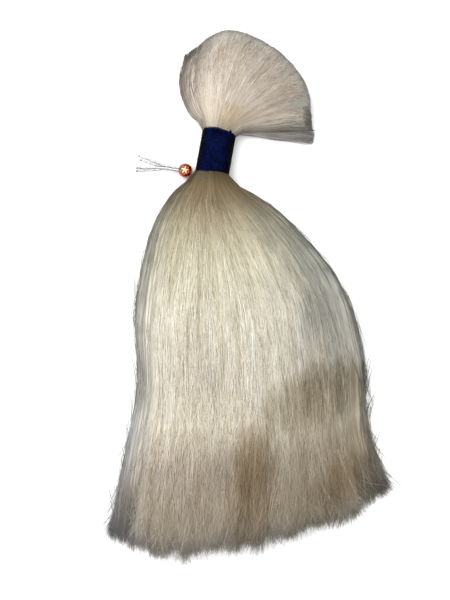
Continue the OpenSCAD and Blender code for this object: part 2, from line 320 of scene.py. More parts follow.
def strands(hair, look, seed, n, u_range, w_range, spans=None, start=0.0, stations=16,
            thick=0.17 * MM):
    """n hairs laid on a flow as thin closed tubes of three sides, as arrays.
    Each hair keeps its own u and w, weaves a little along v, and is drawn to the tip of its tuft
    over the last stretch. With spans, each hair covers only a short stretch of v: it comes up out
    of the flow, lies on it and lifts its tip."""
    rng = np.random.default_rng(seed)
    u0 = np.sort(rng.uniform(*u_range, n))[:, None]
    w0 = rng.uniform(*w_range, (n, 1))
    tuft_rng = np.random.default_rng(5 + int(hair.ahead))
    tip, shade, shift, aside = tuft_rng.normal(size=(4, look.tufts + 3))
    tuft = np.clip((u0 * look.tufts + rng.normal(0, 0.5, (n, 1))).astype(int), 0, look.tufts) + 1
    tuft_u = (tuft - 0.5 + 0.25 * shift[tuft]) / look.tufts
    off = np.minimum(np.abs(u0 - tuft_u) * look.tufts, 1.5)
    broad = 0.6 * np.sin(23 * u0 + 1) + 0.5 * np.sin(61 * u0)
    end = 1 + look.ragged * (tip[tuft] + broad) - look.spike * (off + 0.6 * rng.random((n, 1)) ** 2)
    end += np.where(rng.random((n, 1)) < 0.08, look.spike * rng.random((n, 1)), 0)

    s = np.linspace(0, 1, stations)[None]
    if spans:
        first = rng.uniform(start, 1 - 0.5 * spans[0], (n, 1))
        last = np.minimum(first + rng.uniform(*spans, (n, 1)), end)
        first = np.minimum(first, last - 0.5 * spans[0])
        rise = np.sign(w0) * (0.05 * ease(3 * s) - 0.05 + 0.035 * s ** 3 * rng.random((n, 1)))
        drift = look.drift * rng.normal(size=(n, 1)) * (s - 0.5) * (1 + ease((last - 0.6) / 0.3))
    else:
        first, last = start, end
        rise, drift = 0, 0
    v = first + (last - first) * s
    phase = rng.random((4, n, 1)) * 2 * np.pi
    reach = ease(v / 0.35)
    stray = np.where(rng.random((n, 1)) < look.wild, rng.uniform(1.5, 2.5, (n, 1)), 1.0)
    pace = rng.uniform(0.6, 1.6, (n, 1))
    weave = look.wave * reach * stray * (
        np.sin(9 * pace * v + phase[0]) + 0.6 * np.sin(25 * pace * v + phase[1]))
    near_tip = ease((v - end + 0.10) / 0.10)
    splayed = 0.8 * aside[tuft] + 0.6 * rng.normal(size=(n, 1))
    turned = look.splay * splayed * ease((v - end + 0.05) / 0.05)
    u = u0 + (tuft_u - u0) * look.gather * near_tip + drift * reach + weave + turned
    lift = 0.012 * reach * (np.sin(7 * v + phase[2]) + 0.5 * np.sin(17 * v + phase[3])) * stray
    w = w0 + rise * ease(v / 0.1) + np.sign(w0) * (lift + 0.012 * (stray - 1) * reach)
    centres = place(hair, np.clip(u, 0.001, 0.999), w, np.maximum(v, 0))
    centres[..., 0] += (np.minimum(u, 0) + np.maximum(u - 1, 0)) * 0.6 * hair.length

    taper = np.clip((1.02 - s) / 0.3, 0.15, 1) ** 0.7 * (np.clip(s / 0.1, 0.3, 1) if spans else 1)
    radii = thick * rng.uniform(0.7, 1.25, (n, 1)) * taper
    centres[..., 2] = np.maximum(centres[..., 2], radii)
    corner = np.arange(3)
    strip = (np.arange(n)[:, None, None] + 0.15 + 0.35 * corner) / n + 0 * v[..., None]
    contrast = look.contrast * (1.3 if spans else 0.9)
    tone = 0.5 + 0.05 * shade[tuft] + contrast * rng.normal(size=(n, 1))
    return SimpleNamespace(
        points=tube_grid(centres, radii, 3, first=np.pi / 6),
        flow=np.stack([np.clip(u, 0.02, 0.98)[..., None] + 0 * corner,
                       v[..., None] + 0 * corner], -1),
        bake=np.stack([strip, 0.01 + 0.98 * s[..., None] + 0 * strip], -1),
        tone=np.repeat(np.clip(tone, 0, 1), stations * 3))


def add_strands(name, sets):
    """One piece from sets of strands. The baking map gives each set its own band of columns."""
    points, quads, caps, flows, bakes, tones = [], [], [], [], [], []
    total = 0
    for i, batch in enumerate(sets):
        n, stations = batch.points.shape[:2]
        batch_quads, batch_caps = tube_faces(n, stations, 3)
        quads.append(batch_quads + total)
        caps.append(batch_caps + total)
        total += n * stations * 3
        points.append(batch.points.reshape(-1, 3))
        flows.append(batch.flow.reshape(-1, 2))
        bakes.append((batch.bake.reshape(-1, 2) + (i, 0)) / (len(sets), 1))
        tones.append(batch.tone)
    maps = {"flow": np.concatenate(flows), "OFBake": np.concatenate(bakes)}
    return add_mesh(name, np.concatenate(points), np.concatenate(quads), np.concatenate(caps), maps,
                    np.concatenate(tones))


def hair_bed(name, hair, inset, ends):
    """The closed body of hair under the strands: a section of the flow drawn in by inset, carried
    from inside the binding to near the tips, where it rounds off."""
    around, stations = 72, 60
    turn = 2 * np.pi * np.arange(around) / around
    s = np.linspace(0, 1, stations)
    v = s * ends
    close = np.sqrt(np.clip(1 - np.clip((s - 0.9) / 0.1, 0, 1) ** 2, 0.0004, 1))
    edge = 0.5 - 0.5 * np.cos(turn)
    u = 0.5 + (edge - 0.5) * (0.97 * (0.75 + 0.25 * close))[:, None]
    w = np.where(np.sin(turn) >= 0, 1, -1) * (inset * close)[:, None]
    centre_v = v[:, None] + 0 * u
    points = place(hair, u, w, centre_v)
    quads, caps = tube_faces(1, stations, around)
    if hair.ahead > 0:
        quads, caps = quads[:, ::-1], caps[:, ::-1]
    share = np.where(turn <= np.pi, turn, 2 * np.pi - turn) / np.pi
    maps = {"flow": np.stack([0 * v[:, None] + share, centre_v], -1).reshape(-1, 2)}
    # A little darker than the strands' mean tone: painted shade where the bed shows in the gaps
    # between them.
    tone = np.full(stations * around, 0.42)
    return add_mesh(name, points.reshape(-1, 3), quads, caps, maps, tone)


# ---- materials ----


def srgb(red, green, blue):
    """A colour given in display values, as linear shares. A tint above 255 lightens."""
    shares = np.array([red, green, blue]) / 255
    return (*np.where(shares <= 0.04045, shares / 12.92, ((shares + 0.055) / 1.055) ** 2.4), 1.0)


def material(name):
    """An empty material with its Principled shader."""
    made = bpy.data.materials.new(name)
    made.use_nodes = True
    tree = made.node_tree
    return made, tree, tree.nodes["Principled BSDF"]


def node(tree, kind, values=None, **settings):
    """A node of a kind, with its settings, and its sockets' values by name or index."""
    made = tree.nodes.new(kind)
    for key, value in settings.items():
        setattr(made, key, value)
    for key, value in (values or {}).items():
        made.inputs[key].default_value = value
    return made


def ramp(tree, stops, source):
    """A colour ramp through (place, colour) stops, read at a source socket."""
    made = node(tree, "ShaderNodeValToRGB")
    elements = made.color_ramp.elements
    while len(elements) < len(stops):
        elements.new(0.5)
    for element, (at, colour) in zip(elements, stops):
        element.position = at
        element.color = colour
    tree.links.new(source, made.inputs["Fac"])
    return made.outputs["Color"]


def mixed(tree, kind, factor, first, second):
    """Two colours mixed. Each of factor, first and second is a socket or a plain value."""
    made = node(tree, "ShaderNodeMix", data_type="RGBA", blend_type=kind)
    for socket, value in ((made.inputs["Factor"], factor), (made.inputs["A"], first),
                          (made.inputs["B"], second)):
        target = socket
        if socket.name in "AB":
            target = [s for s in made.inputs if s.name == socket.name and s.type == "RGBA"][0]
        if hasattr(value, "is_linked"):
            tree.links.new(value, target)
        else:
            target.default_value = value
    return [s for s in made.outputs if s.type == "RGBA"][0]


def sums(tree, kind, first, second):
    """One sum of two numbers or sockets."""
    made = node(tree, "ShaderNodeMath", operation=kind)
    for socket, value in zip(made.inputs, (first, second)):
        if hasattr(value, "is_linked"):
            tree.links.new(value, socket)
        else:
            socket.default_value = value
    return made.outputs[0]


def mapped(tree, source, low, high, to_low=0.0, to_high=1.0):
    """A source's stretch from low to high carried smoothly to another stretch."""
    made = node(tree, "ShaderNodeMapRange", {"From Min": low, "From Max": high, "To Min": to_low,
                                             "To Max": to_high}, interpolation_type="SMOOTHSTEP")
    tree.links.new(source, made.inputs["Value"])
    return made.outputs["Result"]


def streak_group():
    """Fine streaks along the hair: a mask and a height from the flow's (u, v) map."""
    group = bpy.data.node_groups.new("hair streaks", "ShaderNodeTree")
    group.interface.new_socket("Flow", in_out="INPUT", socket_type="NodeSocketVector")
    group.interface.new_socket("Streaks across", in_out="INPUT", socket_type="NodeSocketFloat")
    group.interface.new_socket("Streaks along", in_out="INPUT", socket_type="NodeSocketFloat")
    group.interface.new_socket("Mask", in_out="OUTPUT", socket_type="NodeSocketFloat")
    entry = group.nodes.new("NodeGroupInput")
    leave = group.nodes.new("NodeGroupOutput")
    split = node(group, "ShaderNodeSeparateXYZ")
    group.links.new(entry.outputs["Flow"], split.inputs[0])
    join = node(group, "ShaderNodeCombineXYZ")
    group.links.new(sums(group, "MULTIPLY", split.outputs["X"], entry.outputs["Streaks across"]),
                    join.inputs["X"])
    group.links.new(sums(group, "MULTIPLY", split.outputs["Y"], entry.outputs["Streaks along"]),
                    join.inputs["Y"])
    noise = node(group, "ShaderNodeTexNoise", {"Scale": 1.0, "Detail": 3.0, "Roughness": 0.6})
    group.links.new(join.outputs[0], noise.inputs["Vector"])
    group.links.new(mapped(group, noise.outputs["Fac"], 0.3, 0.7), leave.inputs["Mask"])
    return group


STREAKS = streak_group()


def streaks(tree, flow_map, across, length):
    """The streak group placed in a material's tree."""
    made = node(tree, "ShaderNodeGroup", node_tree=STREAKS)
    made.inputs["Streaks across"].default_value = across
    made.inputs["Streaks along"].default_value = length
    tree.links.new(flow_map, made.inputs["Flow"])
    return made.outputs["Mask"]


def hair_material(name, colour_and_shade_stops, left_edge_shade, right_edge_shade, patches):
    """Goat hair: a colour along the hair, partly its own and partly painted shade; painted grey
    shade at the edges; patches that tint it, partly stains and partly painted light and shade; and
    tone from hair to hair. A patch is (u, v, half its width, half its length, tint)."""
    made, tree, shader = material(name)
    flow_map = node(tree, "ShaderNodeUVMap", uv_map="flow").outputs["UV"]
    split = node(tree, "ShaderNodeSeparateXYZ")
    tree.links.new(flow_map, split.inputs[0])
    u, v = split.outputs["X"], split.outputs["Y"]
    # Along the hair: partly the hair's own colour and partly painted shade, darker at the root
    # under the binding and towards the tips.
    colour = ramp(tree, colour_and_shade_stops, v)
    # Painted shade: both edges of the flow are multiplied greyer, where the hair turns away from
    # the light.
    colour = mixed(tree, "MULTIPLY", mapped(tree, u, 0.22, 0.02), colour, left_edge_shade)
    colour = mixed(tree, "MULTIPLY", mapped(tree, u, 0.88, 1.0), colour, right_edge_shade)
    wander = sums(tree, "SUBTRACT", streaks(tree, flow_map, 9.0, 6.0), 0.5)
    hairy = sums(tree, "SUBTRACT", streaks(tree, flow_map, 120.0, 9.0), 0.5)
    wander = sums(tree, "ADD", sums(tree, "MULTIPLY", wander, 0.7),
                  sums(tree, "MULTIPLY", hairy, 0.5))
    # Patches that tint the hair: partly stains, partly painted shade and painted light by how the
    # surface lies to the lamps.
    for u_at, v_at, u_half, v_half, tint in patches:
        across = sums(tree, "DIVIDE", sums(tree, "SUBTRACT", u, u_at), u_half)
        down = sums(tree, "DIVIDE", sums(tree, "SUBTRACT", v, v_at), v_half)
        reach = sums(tree, "ADD", sums(tree, "MULTIPLY", across, across),
                     sums(tree, "MULTIPLY", down, down))
        reach = sums(tree, "ADD", reach, wander)
        colour = mixed(tree, "MULTIPLY", mapped(tree, reach, 1.9, -0.2), colour, tint)
    broad = sums(tree, "MULTIPLY", streaks(tree, flow_map, 30.0, 2.2),
                 mapped(tree, v, 0.05, 0.35))
    colour = mixed(tree, "MULTIPLY", broad, colour, srgb(238, 234, 226))
    tone = node(tree, "ShaderNodeAttribute", attribute_name="tone").outputs["Fac"]
    colour = mixed(tree, "MULTIPLY", mapped(tree, tone, 0.6, 0.1), colour, srgb(190, 183, 168))
    colour = mixed(tree, "SCREEN", mapped(tree, tone, 0.55, 1.0, 0.0, 0.5), colour,
                   srgb(168, 166, 158))
    tree.links.new(colour, shader.inputs["Base Color"])
    shader.inputs["Roughness"].default_value = 0.42
    shader.inputs["IOR"].default_value = 1.5
    return made


def thread_material():
    """Navy plied thread: matt, with fine fibres; painted shade darkens the binding's flanks below
    its bluer crown.
    """
    made, tree, shader = material("navy thread")
    coords = node(tree, "ShaderNodeTexCoord").outputs["Object"]
    grain = node(tree, "ShaderNodeTexNoise", {"Scale": 900.0, "Detail": 4.0, "Roughness": 0.7})
    tree.links.new(coords, grain.inputs["Vector"])
    cloud = node(tree, "ShaderNodeTexNoise", {"Scale": 160.0, "Detail": 2.0})
    tree.links.new(coords, cloud.inputs["Vector"])
    colour = ramp(tree, [(0.3, srgb(1, 6, 27)), (0.55, srgb(4, 15, 54)), (0.78, srgb(10, 34, 98))],
                  grain.outputs["Fac"])
    split = node(tree, "ShaderNodeSeparateXYZ")
    tree.links.new(coords, split.inputs[0])
    # Painted shade: lower round the waist, the binding's flanks are multiplied darker than its
    # crown.
    painted_flank_shade = mapped(tree, split.outputs["Z"], NECK[2] + 0.95 * BINDING_R, NECK[2] + 0.45 * BINDING_R)
    colour = mixed(tree, "MULTIPLY", painted_flank_shade, colour, srgb(60, 60, 80))
    colour = mixed(tree, "MULTIPLY", mapped(tree, cloud.outputs["Fac"], 0.6, 0.35), colour,
                   srgb(150, 150, 170))
    tree.links.new(colour, shader.inputs["Base Color"])
    shader.inputs["Roughness"].default_value = 0.75
    shader.inputs["Specular IOR Level"].default_value = 0.03
    bump = node(tree, "ShaderNodeBump", {"Strength": 0.5, "Distance": 0.1 * MM})
    tree.links.new(grain.outputs["Fac"], bump.inputs["Height"])
    tree.links.new(bump.outputs["Normal"], shader.inputs["Normal"])
    return made


def cord_material():
    """Thin white cord: white plies, grey in the grooves and underneath as painted shade; slightly
    waxy.
    """
    made, tree, shader = material("white cord")
    tone = node(tree, "ShaderNodeAttribute", attribute_name="tone").outputs["Fac"]
    # tone carries painted shade: low tone is painted grey, high tone near white.
    colour = ramp(tree, [(0.3, srgb(100, 100, 102)), (0.66, srgb(150, 150, 152)),
                         (0.85, srgb(200, 200, 200)), (1.0, srgb(224, 224, 224))], tone)
    coords = node(tree, "ShaderNodeTexCoord").outputs["Object"]
    grain = node(tree, "ShaderNodeTexNoise", {"Scale": 1100.0, "Detail": 3.0})
    tree.links.new(coords, grain.inputs["Vector"])
    colour = mixed(tree, "MULTIPLY", mapped(tree, grain.outputs["Fac"], 0.55, 0.35), colour,
                   srgb(170, 170, 172))
    tree.links.new(colour, shader.inputs["Base Color"])
    shader.inputs["Roughness"].default_value = 0.5
    return made


def glass_material():
    """Deep red glass: dark brown swirls, and a painted glow of light through thin glass low round
    the rim.
    """
    made, tree, shader = material("red glass")
    coords = node(tree, "ShaderNodeTexCoord").outputs["Object"]
    swirl = node(tree, "ShaderNodeTexNoise", {"Scale": 330.0, "Detail": 2.0, "Distortion": 1.5})
    tree.links.new(coords, swirl.inputs["Vector"])
    split = node(tree, "ShaderNodeSeparateXYZ")
    tree.links.new(coords, split.inputs[0])
    colour = ramp(tree, [(0.35, srgb(70, 8, 4)), (0.5, srgb(150, 20, 8)),
                         (0.68, srgb(206, 44, 20))], swirl.outputs["Fac"])
    # Painted light: from a little above its middle downwards the bead is a brighter red, as if lit
    # through thin glass.
    rim = mapped(tree, split.outputs["Z"], BEAD[2] + 0.55 * BEAD_R, BEAD[2] + 0.05 * BEAD_R)
    colour = mixed(tree, "MIX", rim, colour, srgb(226, 66, 34))
    tree.links.new(colour, shader.inputs["Base Color"])
    shader.inputs["Roughness"].default_value = 0.06
    shader.inputs["Transmission Weight"].default_value = 0.25
    shader.inputs["IOR"].default_value = 1.52
    shader.inputs["Coat Weight"].default_value = 0.6
    shader.inputs["Coat Roughness"].default_value = 0.03
    return made


def gold_material():
    """Gold leaf with worn specks."""
    made, tree, shader = material("gold leaf")
    coords = node(tree, "ShaderNodeTexCoord").outputs["Object"]
    wear = node(tree, "ShaderNodeTexNoise", {"Scale": 2400.0, "Detail": 3.0})
    tree.links.new(coords, wear.inputs["Vector"])
    colour = ramp(tree, [(0.35, srgb(226, 158, 70)), (0.6, srgb(255, 236, 178))],
                  wear.outputs["Fac"])
    tree.links.new(colour, shader.inputs["Base Color"])
    tree.links.new(mapped(tree, wear.outputs["Fac"], 0.4, 0.7, 0.45, 0.22),
                   shader.inputs["Roughness"])
    shader.inputs["Metallic"].default_value = 0.45
    return made


def floor_material():
    """A plain pale table."""
    made, tree, shader = material("pale table")
    coords = node(tree, "ShaderNodeTexCoord").outputs["Object"]
    grain = node(tree, "ShaderNodeTexNoise", {"Scale": 30.0})
    tree.links.new(coords, grain.inputs["Vector"])
    colour = ramp(tree, [(0.3, srgb(250, 250, 250)), (0.7, srgb(252, 252, 252))],
                  grain.outputs["Fac"])
    tree.links.new(colour, shader.inputs["Base Color"])
    shader.inputs["Roughness"].default_value = 0.9
    return made


# The skirt's colour down the hair is partly its own tan and partly painted shade, darkest under the
# binding's mouth and at the tips. Its edges get painted grey shade. Its patches are painted shade
# over the right side, stains mixed with painted shade on the lower right, and a painted light patch
# on the lower left tips.
SKIRT_HAIR = hair_material(
    "skirt hair",
    [(0.0, srgb(96, 84, 64)), (0.05, srgb(108, 92, 60)), (0.10, srgb(117, 100, 68)),
     (0.15, srgb(130, 117, 89)), (0.20, srgb(151, 138, 111)), (0.30, srgb(194, 187, 162)),
     (0.40, srgb(223, 219, 199)), (0.50, srgb(232, 228, 213)), (0.64, srgb(224, 219, 207)),
     (0.74, srgb(232, 227, 213)), (0.84, srgb(188, 177, 163)), (0.92, srgb(172, 161, 144)),
     (1.0, srgb(146, 140, 132))],
    srgb(170, 174, 180), srgb(172, 174, 176),
    [(1.0, 0.45, 0.30, 0.32, srgb(170, 175, 180)), (0.78, 0.72, 0.22, 0.06, srgb(188, 180, 164)),
     (0.78, 0.87, 0.36, 0.20, srgb(216, 213, 204)), (0.50, 0.89, 0.07, 0.12, srgb(208, 195, 172)),
     (0.82, 0.92, 0.10, 0.05, srgb(216, 206, 188)), (0.0, 0.94, 0.13, 0.20, srgb(314, 320, 338))])
# The fan darkens towards its rim in painted shade, and its edges get painted grey shade. Its
# patches are a warm tint at the root, painted shade over the right side, the upper left rim and the
# right rim, and a lightening that keeps the loose wisp pale under the edge shade.
FAN_HAIR = hair_material(
    "fan hair",
    [(0.0, srgb(204, 192, 176)), (0.15, srgb(210, 198, 181)), (0.35, srgb(219, 209, 198)),
     (0.6, srgb(213, 203, 191)), (0.8, srgb(206, 197, 187)), (0.93, srgb(192, 187, 179)),
     (1.0, srgb(172, 170, 168))],
    srgb(186, 184, 182), srgb(182, 182, 182),
    [(0.62, 0.10, 0.2, 0.12, srgb(244, 234, 216)), (0.85, 0.5, 0.45, 0.9, srgb(226, 224, 222)),
     (0.0, 0.8, 0.22, 0.45, srgb(192, 190, 188)), (WISP_U, 0.5, 0.2, 2.0, srgb(294, 304, 326)),
     (1.0, 0.85, 0.16, 0.35, srgb(214, 222, 222))])
THREAD = thread_material()
CORD = cord_material()
GLASS = glass_material()
GOLD = gold_material()


def finish_piece(piece, finish, slot, *nodes):
    """Gives a piece its material, and hides the solids it stands for. slot is not used."""
    piece.data.materials.append(finish)
    if nodes:
        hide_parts(*nodes)


# ---- the charm's cords ----

# Where each cord's tail comes down and lies on the table: x in millimetres and y in cord widths
# from the bead's centre, z in cord widths from the table
TAILS = [
    [(-13, 0.91, 3.1), (-16.5, 1.9, 1.73), (-20, 2.72, 0.73), (-26.4, 3.8, 0.6)],
    [(-13, 0.68, 2), (-16.5, 0.86, 0.86), (-20, 1.18, 0.6), (-24.9, 1.9, 0.6)],
    [(-13, -0.55, 3), (-16.5, -0.68, 1.73), (-20, -1.18, 0.73), (-26.3, -2.2, 0.6)],
    [(-13, -0.86, 1.9), (-16.5, -1.64, 0.82), (-20, -2.45, 0.6), (-26, -3.72, 0.6)]]


def cord(number):
    """One cord: from the crease under the binding, straight through the bead, down to the table.
    In the crease it stays with the binding, and it bends where it comes out. It is two plies laid
    round each other: its radius swells twice round, and the swells change places every lay.
    tone is painted shade: least in the grooves and on the underside, and 1 on the upper crests."""
    pitch = CORD_D / 2 + CORDS_APART
    dy = pitch if number < 2 else -pitch
    dz = pitch if number % 2 == 0 else -pitch
    leave = PIVOTS["charm_swing"] - BEAD
    crease = NECK - (0, BINDING_HALF + CREASE_HALF, 0) - BEAD
    slant = 1 / math.cos(math.atan2(-leave[1], leave[0] - BEAD_R))
    start = np.array([
        (leave[0] + CORD_START_IN, crease[1] + 0.4 * dy, dz),
        (leave[0], leave[1] + dy * slant, dz),
        ((leave[0] + BEAD_R) / 2, leave[1] / 2 + dy * slant, dz),
        (BEAD_R, dy, dz),
        (-BEAD_TRAVEL / 2, dy, dz),
        (-BEAD_R - BEAD_TRAVEL, dy, dz)])
    tail = np.array(TAILS[number]) * (MM, CORD_D, CORD_D) - (0, 0, BEAD[2])
    knots = np.concatenate([start, tail]) + BEAD
    s = np.linspace(0, 1, 181)
    path = along(knots, s)
    length = np.linalg.norm(np.diff(path, axis=0), axis=1).sum()
    sides = 14
    turn = 2 * np.pi * np.arange(sides) / sides
    lay = 2 * np.pi * s[:, None] * length / CORD_LAY
    crest = np.abs(np.cos(turn[None] + lay / 2)) ** 0.6
    points = tube_grid(path[None], (CORD_D / 2 * (0.80 + 0.20 * crest))[None], sides)
    quads, caps = tube_faces(1, len(s), sides)
    maps = {"flow": np.stack([np.tile(turn / (2 * np.pi), len(s)), np.repeat(s, sides)], -1)}
    # Painted shade: the underside and the grooves between the plies get a low tone.
    tone = (0.5 + 0.5 * np.sin(turn)[None]) * (0.82 + 0.18 * crest)
    piece = add_mesh(f"cord_tail_{number + 1}", points.reshape(-1, 3), quads, caps, maps,
                     tone.ravel())
    finish_piece(piece, CORD, "white_cord", f"cord_{number + 1}")
    fray = frayed_end(number, path[-1], path[-1] - path[-6])
    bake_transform(piece)
    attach(fray, "charm_cords")


def frayed_end(number, tip, towards):
    """Short fibres that spread from a cord's cut end, each a curve that leaves the cord's line."""
    rng = np.random.default_rng(40 + number)
    n, stations = 16, 7
    ahead = unit(np.array([towards[0], towards[1], 0.0]))
    across = np.array([-ahead[1], ahead[0], 0.0])
    s = np.linspace(-0.25, 1, stations)[None, :, None]
    angle = rng.uniform(0, 2 * np.pi, (n, 1, 1))
    root = 0.32 * MM * (np.cos(angle) * across + np.sin(angle) * UP)
    reach = rng.uniform(0.7, 1.7, (n, 1, 1)) * MM
    spread = rng.uniform(0.2, 0.6, (n, 1, 1)) * MM * (np.cos(angle) * across + np.sin(angle) * UP)
    centres = tip + root + s * reach * ahead + np.maximum(s, 0) ** 1.5 * spread
    radii = np.full((n, stations), 0.09 * MM) * np.linspace(1, 0.4, stations)
    centres[..., 2] = np.maximum(centres[..., 2], radii)
    points = tube_grid(centres, radii, 5)
    quads, caps = tube_faces(n, stations, 5)
    maps = {"flow": np.zeros((n * stations * 5, 2))}
    tone = np.repeat(rng.uniform(0.2, 0.9, n), stations * 5)
    piece = add_mesh(f"cord_fray_{number + 1}", points.reshape(-1, 3), quads, caps, maps, tone)
    finish_piece(piece, CORD, "white_cord")
    return piece


for number in range(len(TAILS)):
    cord(number)


# ---- the bead ----


def glass_bead():
    """A bead turned about its bore: half a circle from lip to lip, a rounded lip, and the bore."""
    around = 96
    lip = 0.22 * MM
    bore = BEAD_BORE_R
    lip_x = math.sqrt((BEAD_R - lip) ** 2 - (bore + lip) ** 2)
    open_at = math.atan2(bore + lip, lip_x)
    outer = np.linspace(open_at, np.pi - open_at, 49)
    bend = np.linspace(np.pi - open_at, 3 * np.pi / 2, 9)
    profile = np.concatenate([
        BEAD_R * np.stack([np.cos(outer), np.sin(outer)], -1),
        np.stack([-lip_x + lip * np.cos(bend), bore + lip + lip * np.sin(bend)], -1)[1:],
        np.stack([lip_x - lip * np.cos(bend), bore + lip + lip * np.sin(bend)], -1)[::-1][:-1]])
    turn = 2 * np.pi * np.arange(around) / around
    ring = np.stack([
        profile[:, None, 0] + 0 * turn,
        profile[:, None, 1] * np.cos(turn),
        profile[:, None, 1] * np.sin(turn)], -1) + BEAD
    k, j = np.meshgrid(np.arange(len(profile)), np.arange(around), indexing="ij")
    k2, j2 = (k + 1) % len(profile), (j + 1) % around
    quads = np.stack([k * around + j, k * around + j2, k2 * around + j2, k2 * around + j], -1)
    maps = {"flow": np.stack([k / len(profile), j / around], -1).reshape(-1, 2)}
    piece = add_mesh("bead_glass", ring.reshape(-1, 3), quads.reshape(-1, 4)[:, ::-1],
                     np.zeros((0, 3), int), maps)
    finish_piece(piece, GLASS, "red_glass", "glass_bead")
    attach(piece, "bead")


def leaf_patch(angle, radius, size, stretch):
    """A raised petal on the bead: a disc (r, a) whose rim swells with cos 2a, bent onto the ball
    about the bead's top, with a crowned middle and an edge that dips into the glass."""
    rings, around = 7, 28
    r = np.linspace(0.02, 1, rings)[:, None]
    a = 2 * np.pi * np.arange(around)[None] / around
    rim = size * (1 + stretch * np.cos(2 * (a - angle)))
    x = radius * np.cos(angle) + r * rim * np.cos(a)
    y = radius * np.sin(angle) + r * rim * np.sin(a)
    height = BEAD_R + (0.09 - 0.13 * r ** 4) * MM
    tilt = np.hypot(x, y) / BEAD_R
    way = np.arctan2(y, x)
    return np.stack([height * np.sin(tilt) * np.cos(way), height * np.sin(tilt) * np.sin(way),
                     height * np.cos(tilt)], -1)


def gold_blossoms():
    """Three generic blossoms spaced round the bead's bore: petals round a heart, with buds."""
    patches = []
    for spin in (0.15, 0.15 + 2 * np.pi / 3, 0.15 + 4 * np.pi / 3):
        turn = np.array([[1, 0, 0], [0, math.cos(spin), -math.sin(spin)],
                         [0, math.sin(spin), math.cos(spin)]])
        motif = [leaf_patch(0, 0, 0.62 * MM, 0)]
        motif += [leaf_patch(0.3 + 2 * np.pi * i / 5, 1.5 * MM, 0.72 * MM, 0.38) for i in range(5)]
        motif += [leaf_patch(0.93 + 2 * np.pi * i / 5, 2.45 * MM, 0.34 * MM, 0.3) for i in range(5)]
        patches += [patch @ turn.T for patch in motif]
    rings, around = patches[0].shape[:2]
    points = np.stack(patches) + BEAD
    quads, caps = tube_faces(len(patches), rings, around)
    maps = {"flow": np.zeros((points.size // 3, 2))}
    piece = add_mesh("bead_gold", points.reshape(-1, 3), quads, caps, maps)
    finish_piece(piece, GOLD, "gold_leaf", "gold_blossom")
    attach(piece, "bead")


glass_bead()
gold_blossoms()


# ---- the binding ----


def round_the_waist(turn, y, radius):
    """Points at an angle round the waist's axis, at a place y along it and at a radius."""
    return np.stack([NECK[0] + radius * np.cos(turn), NECK[1] + y,
                     NECK[2] + radius * np.sin(turn)], -1)


def twisted_tube(name, path, radius, sides, lay):
    """A tube of two plies: its radius swells twice round, and the swells change places every lay.
    lay is in metres along the path."""
    step = np.linalg.norm(np.diff(path, axis=0), axis=1)
    run = np.concatenate([[0], np.cumsum(step)])
    ahead = unit(np.gradient(path, axis=0))
    outward = unit((path - NECK) * (1, 0, 1))
    across = unit(np.cross(ahead, outward))
    outward = np.cross(across, ahead)
    turn = 2 * np.pi * np.arange(sides) / sides
    swell = radius * (0.90 + 0.10 * np.cos(2 * turn[None] + 2 * np.pi * run[:, None] / lay))
    points = path[:, None] + swell[..., None] * (
        np.cos(turn)[:, None] * across[:, None] + np.sin(turn)[:, None] * outward[:, None])
    quads, caps = tube_faces(1, len(path), sides)
    maps = {"flow": np.stack([np.tile(turn / (2 * np.pi), len(path)),
                              np.repeat(run / run[-1], sides)], -1)}
    return add_mesh(name, points.reshape(-1, 3), quads, caps, maps)


def winding():
    """The outer winding: one helix of close turns, each a little uneven in place and height."""
    turns = round(2 * BINDING_HALF / THREAD_D)
    per_turn = 84
    s = np.linspace(0, 1, turns * per_turn + 1)
    angle = 2 * np.pi * turns * s
    wander = 0.05 * MM * (np.sin(0.73 * angle) + 0.7 * np.sin(0.31 * angle + 1))
    y = (2 * s - 1) * (BINDING_HALF - THREAD_D / 2) + wander * np.sin(np.pi * s)
    radius = BINDING_R - THREAD_D / 2 - 0.04 * MM * (1 + np.sin(1.91 * angle))
    piece = twisted_tube("winding_thread", round_the_waist(angle, y, radius),
                         1.12 * THREAD_D / 2, 8, WINDING_LAY)
    finish_piece(piece, THREAD, "navy_thread", "outer_whipping")
    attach(piece, "binding")


def crossing_threads():
    """Two stray turns that cross the winding at a slant and tuck under it at both ends."""
    strays = []
    for name, start, end in (("left", (150, -8.5), (104, -11)), ("right", (62, 2), (22, -9))):
        s = np.linspace(-0.06, 1.06, 60)
        angle = np.radians(start[0] + (end[0] - start[0]) * s)
        y = (start[1] + (end[1] - start[1]) * s) * MM
        tuck = 0.5 * MM * (ease(-s / 0.06) + ease((s - 1) / 0.06))
        radius = BINDING_R + 0.12 * MM - tuck
        strays.append(twisted_tube(f"crossing_thread_{name}", round_the_waist(angle, y, radius),
                                   0.42 * THREAD_D, 8, THREAD_LAY))
    finish_piece(strays[0], THREAD, "navy_thread", "crossing_threads")
    finish_piece(strays[1], THREAD, "navy_thread")
    for stray in strays:
        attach(stray, "binding")


